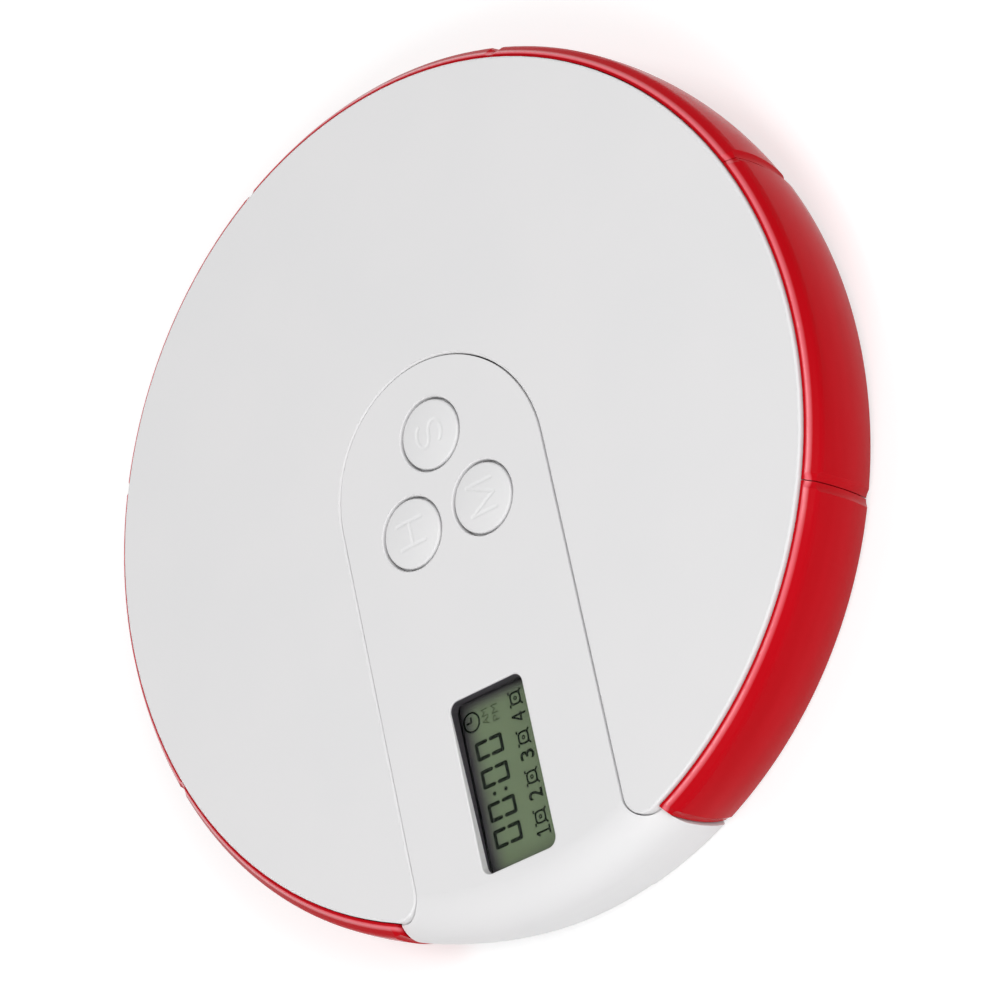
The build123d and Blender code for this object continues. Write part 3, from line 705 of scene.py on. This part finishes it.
def make_gasket():
    """Charcoal gasket that stands on the lens and lines the window; its sloping edge also paints the shade
    on the window's wall.
    """
    foot = lens_top / MM
    outside = window_loop(gasket_gap)
    inside = window_loop(gasket_gap + gasket_wall)
    rings = (
        [(x, y, foot) for x, y in outside],
        [(x, y, gasket_top(y)) for x, y in outside],
        [(x, y, gasket_top(y)) for x, y in inside],
        [(x, y, foot) for x, y in inside],
    )
    mesh = bmesh.new()
    loops = [[mesh.verts.new(point) for point in ring] for ring in rings]
    for inner, outer in zip(loops, loops[1:] + loops[:1]):
        for number in range(len(inner)):
            after = (number + 1) % len(inner)
            mesh.faces.new((inner[number], inner[after], outer[after], outer[number]))
    place = Matrix.Translation((panel_middle.x, panel_middle.y, 0))
    gasket_and_shade = finished(mesh, "window_gasket_and_shade", MATERIALS["gasket_rubber"], place)
    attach(gasket_and_shade, "body")


# ---------------------------------------------------------------- keys and door
def letter_strokes(letter):
    """Strokes of one key letter as lists of points about its middle, in mm."""
    half_width, half_height = letter_widths[letter] / 2, letter_height / 2
    if letter == "H":
        posts = [[(side * half_width, -half_height), (side * half_width, half_height)] for side in (-1, 1)]
        return posts + [[(-half_width, 0), (half_width, 0)]]
    if letter == "M":
        left = [(-half_width, -half_height), (-half_width, half_height), (0, -half_height)]
        return [left, [(0, -half_height), (half_width, half_height), (half_width, -half_height)]]
    bow = half_height / 2
    upper = [radians(turn) for turn in range(30, 271, 20)]
    lower = [radians(turn) for turn in range(90, -151, -20)]
    curve = [(half_width * cos(turn), bow + bow * sin(turn)) for turn in upper]
    return [curve + [(half_width * cos(turn), -bow + bow * sin(turn)) for turn in lower]]


def stroke_distance(point, strokes):
    """Distance from a point to the nearest stroke."""
    nearest = letter_height
    for stroke in strokes:
        places = [Vector(place) for place in stroke]
        for start, end in zip(places, places[1:]):
            run = end - start
            share = min(max((point - start).dot(run) / run.length_squared, 0.0), 1.0)
            nearest = min(nearest, (point - start - share * run).length)
    return nearest


def crown_height(radius, top):
    """Height of a key's crown at a radius: a shallow dome that ends in a rounded edge."""
    sphere = (key_radius**2 + key_crown**2) / (2 * key_crown)
    domed = min(radius, key_radius - key_edge_round)
    dome = top - sphere + sqrt(sphere**2 - domed**2)
    return dome - key_edge_round + sqrt(max(key_edge_round**2 - (radius - domed) ** 2, 0.0))


def make_lettered_key(name, letter):
    """The key of the CAD model with its letter softly sunk into the crown."""
    low, high, middle = node_box(name)
    foot, top = low.z / MM, high.z / MM
    flange_radius = (high.x - low.x) / 2 / MM
    flange_top = top - key_flange_drop
    flange_bottom = flange_top - key_flange_thickness
    domed = key_radius - key_edge_round
    ring_count = round(domed / key_ring_pitch)
    radii = [domed * step / ring_count for step in range(ring_count + 1)]
    radii += [domed + key_edge_round * sin(radians(turn)) for turn in range(15, 91, 15)]
    crown = [(radius, crown_height(radius, top)) for radius in radii]
    under = [
        (key_radius, flange_top),
        (flange_radius, flange_top),
        (flange_radius, flange_bottom),
        (key_stem_radius, flange_bottom),
        (key_stem_radius, foot),
        (0.0, foot),
    ]
    mesh = bmesh.new()
    turned_shape(mesh, crown + under, key_steps)
    strokes = letter_strokes(letter)
    reach = letter_half_stroke + letter_softness
    for vert in mesh.verts:
        # the lettering's right is +Y and its top is -X
        if vert.co.z > flange_top and vert.co.xy.length < letter_height:
            past = reach - stroke_distance(Vector((vert.co.y, -vert.co.x)), strokes)
            share = min(max(past / (2 * letter_softness), 0.0), 1.0)
            vert.co.z -= letter_depth * share**2 * (3 - 2 * share)
    for face in mesh.faces:
        face.smooth = True
    place = Matrix.Translation((middle.x, middle.y, 0))
    key = finished(mesh, name + "_lettered", MATERIALS["white_key"], place)
    key.data.set_sharp_from_angle(angle=radians(30))
    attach(key, name)
    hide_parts(name)


def make_door_arrow():
    """Raised arrow under the battery door that shows which way it slides."""
    mesh = bmesh.new()
    tip = arrow_place - arrow_length / 2
    tail = arrow_place + arrow_length / 2
    outline = [(-arrow_half_width, tail), (0, tip), (arrow_half_width, tail), (0, tail - arrow_length / 3)]
    flat_shape(mesh, outline, -arrow_height, arrow_root)
    place = Matrix.Translation((door_middle.x, 0, door_low.z))
    arrow = finished(mesh, "door_arrow", MATERIALS["white_shell"], place)
    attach(arrow, "battery_door")


# ---------------------------------------------------------------- studio
def seen_directly(tree):
    """1 for a camera, glossy or transmission ray, and 0 for light that falls on a surface."""
    path = tree.nodes.new("ShaderNodeLightPath")
    first = tree.nodes.new("ShaderNodeMath")
    first.operation = "MAXIMUM"
    tree.links.new(path.outputs["Is Camera Ray"], first.inputs[0])
    tree.links.new(path.outputs["Is Glossy Ray"], first.inputs[1])
    second = tree.nodes.new("ShaderNodeMath")
    second.operation = "MAXIMUM"
    tree.links.new(first.outputs[0], second.inputs[0])
    tree.links.new(path.outputs["Is Transmission Ray"], second.inputs[1])
    return second.outputs[0]


def mix_shaders(tree, first, second, output):
    """Mixes two shaders into the output and returns the factor's socket."""
    mix = tree.nodes.new("ShaderNodeMixShader")
    tree.links.new(first.outputs[0], mix.inputs[1])
    tree.links.new(second.outputs[0], mix.inputs[2])
    tree.links.new(mix.outputs[0], output.inputs["Surface"])
    return mix.inputs["Fac"]


def make_world():
    """White where the camera or a reflection looks, and a plain soft light elsewhere."""
    world = bpy.data.worlds.new("studio")
    bpy.context.scene.world = world
    world.use_nodes = True
    tree = world.node_tree
    seen = tree.nodes["Background"]
    seen.inputs["Color"].default_value = (1, 1, 1, 1)
    seen.inputs["Strength"].default_value = 1.0
    light = tree.nodes.new("ShaderNodeBackground")
    light.inputs["Color"].default_value = (1, 1, 1, 1)
    light.inputs["Strength"].default_value = sky_level
    tree.links.new(seen_directly(tree), mix_shaders(tree, light, seen, tree.nodes["World Output"]))


def make_floor():
    """Pale floor that keeps the object's shadow, stays white far off, and lets a view from below through."""
    mesh = bmesh.new()
    half = floor_size / 2 / MM
    corners = ((-half, -half), (half, -half), (half, half), (-half, half))
    mesh.faces.new([mesh.verts.new((x, y, 0)) for x, y in corners])
    mat = bpy.data.materials.new("floor_finish")
    mat.use_nodes = True
    tree = mat.node_tree
    tree.nodes.clear()
    output = tree.nodes.new("ShaderNodeOutputMaterial")
    paper = tree.nodes.new("ShaderNodeBsdfDiffuse")
    paper.inputs["Color"].default_value = (floor_grey, floor_grey, floor_grey, 1)
    glow = tree.nodes.new("ShaderNodeEmission")
    distance = vector_length(tree, object_place(tree))
    level = spread(tree, distance, floor_near, floor_far, floor_glow_near, floor_glow_far)
    tree.links.new(multiplied(tree, seen_directly(tree), level), glow.inputs["Strength"])
    lit = tree.nodes.new("ShaderNodeAddShader")
    tree.links.new(paper.outputs[0], lit.inputs[0])
    tree.links.new(glow.outputs[0], lit.inputs[1])
    clear = tree.nodes.new("ShaderNodeBsdfTransparent")
    side = tree.nodes.new("ShaderNodeNewGeometry")
    tree.links.new(side.outputs["Backfacing"], mix_shaders(tree, lit, clear, output))
    floor = finished(mesh, "floor", mat)


def area_lamp(name, place, size, power):
    """Square soft lamp that faces the object."""
    lamp = bpy.data.lights.new(name, "AREA")
    lamp.size = size
    lamp.energy = power
    holder = bpy.data.objects.new(name, lamp)
    bpy.context.scene.collection.objects.link(holder)
    holder.location = place
    holder.rotation_mode = "QUATERNION"
    holder.rotation_quaternion = (cover_middle - Vector(place)).to_track_quat("-Z", "Y")


def make_camera():
    """Camera at the photograph's viewing angle."""
    lens = bpy.data.cameras.new("camera")
    lens.lens = camera_lens
    lens.sensor_width = camera_sensor
    camera = bpy.data.objects.new("camera", lens)
    bpy.context.scene.collection.objects.link(camera)
    right, up = Vector(camera_right).normalized(), Vector(camera_up).normalized()
    turn = Matrix((right, up, right.cross(up))).transposed().to_4x4()
    camera.matrix_world = Matrix.Translation(camera_place) @ turn
    bpy.context.scene.camera = camera


# ---------------------------------------------------------------- everything together
dress_nodes()
make_display()
make_gasket()
for name, letter in key_letters.items():
    make_lettered_key(name, letter)
make_door_arrow()
make_world()
make_floor()
for name, (place, size, power) in lamps.items():
    area_lamp(name, place, size, power)
make_camera()
bpy.context.scene.view_settings.view_transform = "Standard"
